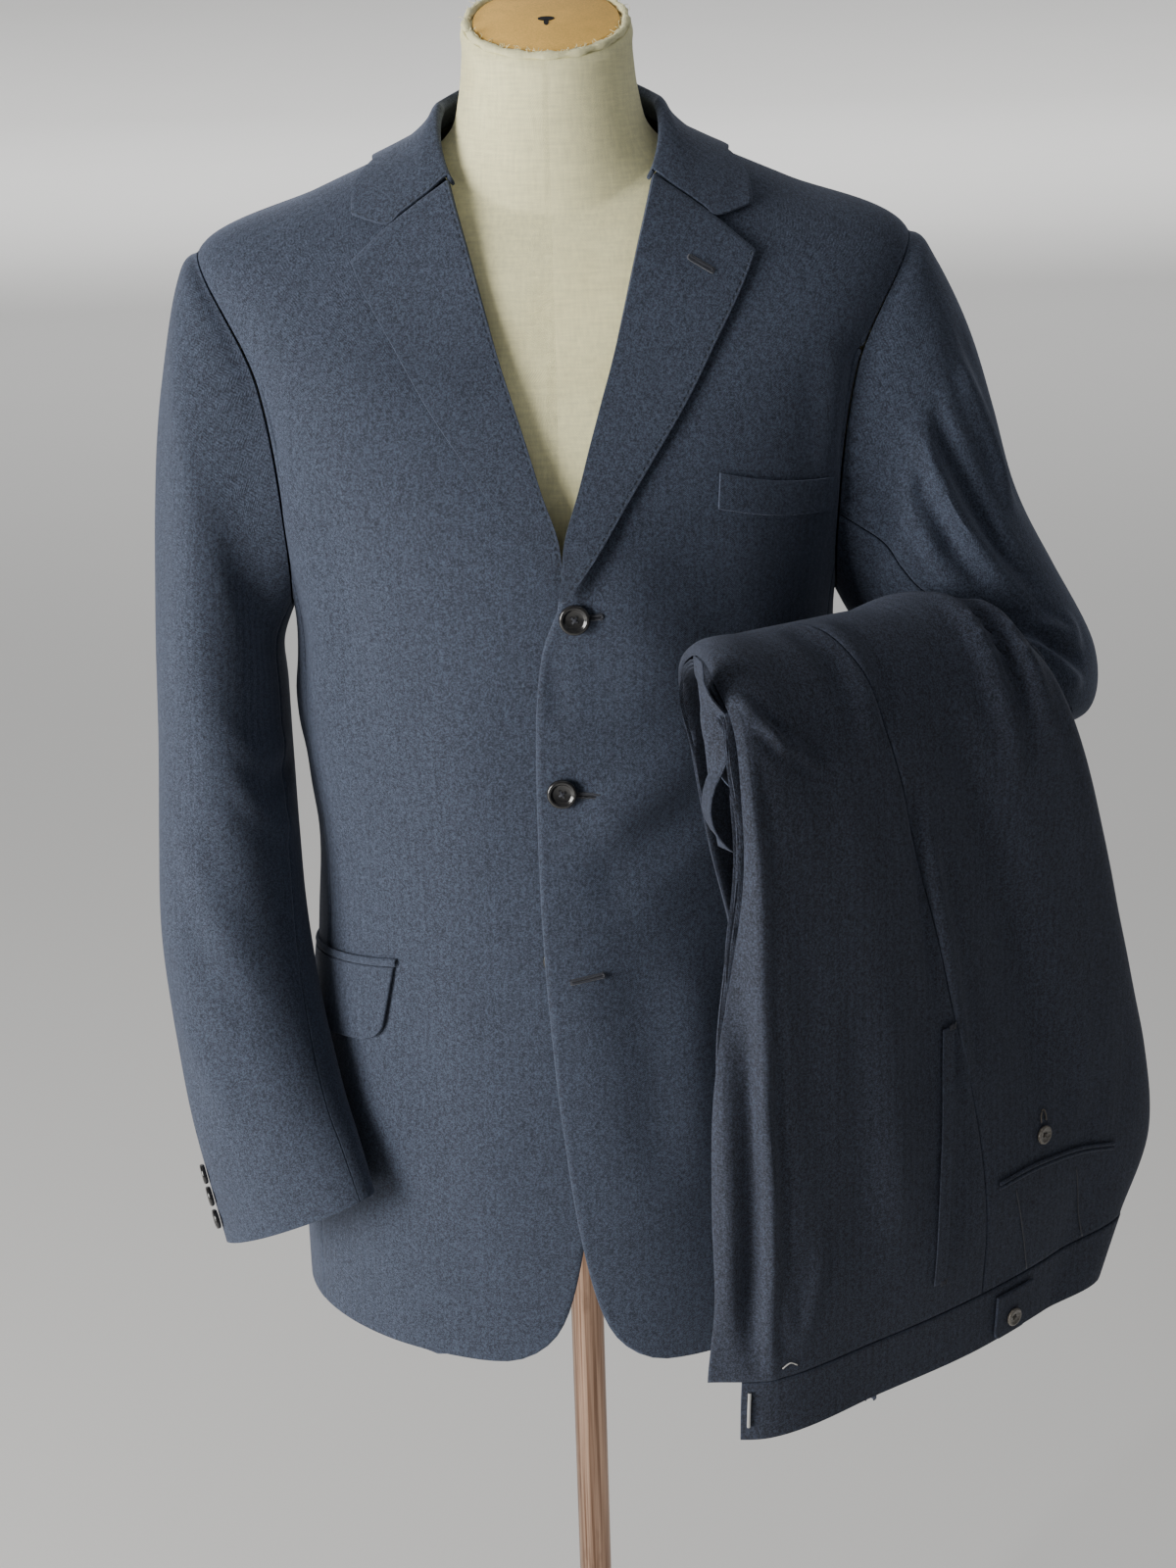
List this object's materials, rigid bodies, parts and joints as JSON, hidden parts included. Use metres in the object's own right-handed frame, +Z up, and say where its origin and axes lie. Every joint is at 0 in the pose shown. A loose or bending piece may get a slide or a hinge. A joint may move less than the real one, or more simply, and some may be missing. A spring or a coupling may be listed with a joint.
{
  "type": "two-piece suit on a limbless dress form",
  "caption": "Single-breasted notch-lapel jacket worn by a limbless dress form on a pole and round base, with matching trousers folded and hung over its bent left forearm.",
  "frame": {"origin": "on the floor, at the centre of the underside of the round base, on the axis of the pole", "axes": "+Z up, +X towards the wearer's left, -Y towards the wearer's front"},
  "size_m": [0.6882, 0.4522, 1.5446],
  "materials": {
    "jacket_wool": "matte worsted wool with a faint herringbone stripe",
    "trouser_wool": "matte worsted wool with a faint herringbone stripe",
    "black_horn": "polished rim, satin well",
    "grey_horn": "satin, slightly mottled",
    "steel": "satin",
    "linen": "plain-woven cream cover",
    "card": "matte brown board",
    "bronze_pole": "brushed coppery bronze",
    "dark_iron": "dark satin"
  },
  "bodies": {
    "root": {"form_base": "dark_iron", "form_neck_cap": "card", "form_pole": "bronze_pole", "form_torso": "linen", "jacket_back_left": "jacket_wool", "jacket_back_right": "jacket_wool", "jacket_breast_welt": "jacket_wool", "jacket_button_bottom": "black_horn", "jacket_button_middle": "black_horn", "jacket_button_top": "black_horn", "jacket_collar": "jacket_wool", "jacket_cuff_button_left_1": "black_horn", "jacket_cuff_button_left_2": "black_horn", "jacket_cuff_button_left_3": "black_horn", "jacket_cuff_button_right_1": "black_horn", "jacket_cuff_button_right_2": "black_horn", "jacket_cuff_button_right_3": "black_horn", "jacket_flap_left": "jacket_wool", "jacket_flap_right": "jacket_wool", "jacket_front_left": "jacket_wool", "jacket_front_right": "jacket_wool", "jacket_jet_left": "jacket_wool", "jacket_jet_right": "jacket_wool", "jacket_lapel_left": "jacket_wool", "jacket_lapel_right": "jacket_wool", "jacket_side_left": "jacket_wool", "jacket_side_right": "jacket_wool", "jacket_sleeve_left_top": "jacket_wool", "jacket_sleeve_left_under": "jacket_wool", "jacket_sleeve_right_top": "jacket_wool", "jacket_sleeve_right_under": "jacket_wool", "trouser_bar_eye": "steel", "trouser_hip_button": "grey_horn", "trouser_hip_jet_lower": "trouser_wool", "trouser_hip_jet_upper": "trouser_wool", "trouser_left_leg": "trouser_wool", "trouser_pocket_edge": "trouser_wool", "trouser_right_back": "trouser_wool", "trouser_right_front": "trouser_wool", "trouser_side_tab": "trouser_wool", "trouser_tab_button": "grey_horn", "trouser_waistband_left": "trouser_wool", "trouser_waistband_right": "trouser_wool"}
  },
  "joints": []
}
